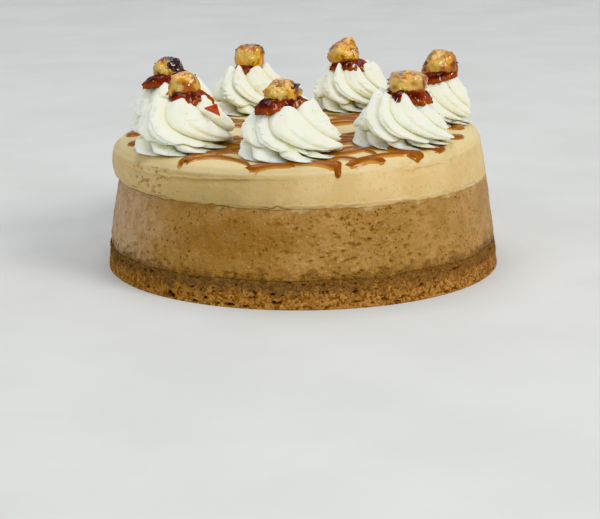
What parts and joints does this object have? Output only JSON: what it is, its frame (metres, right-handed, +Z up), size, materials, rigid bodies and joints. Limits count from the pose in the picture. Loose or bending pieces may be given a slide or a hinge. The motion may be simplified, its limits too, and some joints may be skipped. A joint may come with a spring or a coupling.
{
  "type": "decorated baked cheesecake",
  "caption": "Round baked cheesecake: crumb base, baked filling, coffee cream with caramel lines, piped cream rosettes and caramelised hazelnuts",
  "frame": {"origin": "middle of the underside of the crumb base", "axes": "+Z up through the cake, -Y towards the side seen from the front"},
  "size_m": [0.2297, 0.2294, 0.1226],
  "materials": {
    "crumb": "pressed biscuit crumb, granular, matt",
    "baked": "baked cheese filling, tan, finely pitted, slight sheen",
    "coffee_cream": "smooth set coffee cream, satin",
    "whipped_cream": "whipped cream, ivory, soft satin",
    "candied_hazelnut": "hazelnut in clear amber caramel, glossy",
    "caramel": "set caramel, orange, glossy"
  },
  "bodies": {
    "root": {"crumb_base": "crumb", "baked_filling": "baked", "coffee_cream": "coffee_cream", "rosette_1": "whipped_cream", "rosette_2": "whipped_cream", "rosette_3": "whipped_cream", "rosette_4": "whipped_cream", "rosette_5": "whipped_cream", "rosette_6": "whipped_cream", "rosette_7": "whipped_cream", "hazelnut_1": "candied_hazelnut", "hazelnut_2": "candied_hazelnut", "hazelnut_3": "candied_hazelnut", "hazelnut_4": "candied_hazelnut", "hazelnut_5": "candied_hazelnut", "hazelnut_6": "candied_hazelnut", "hazelnut_7": "candied_hazelnut", "caramel_shard": "caramel"}
  },
  "joints": []
}
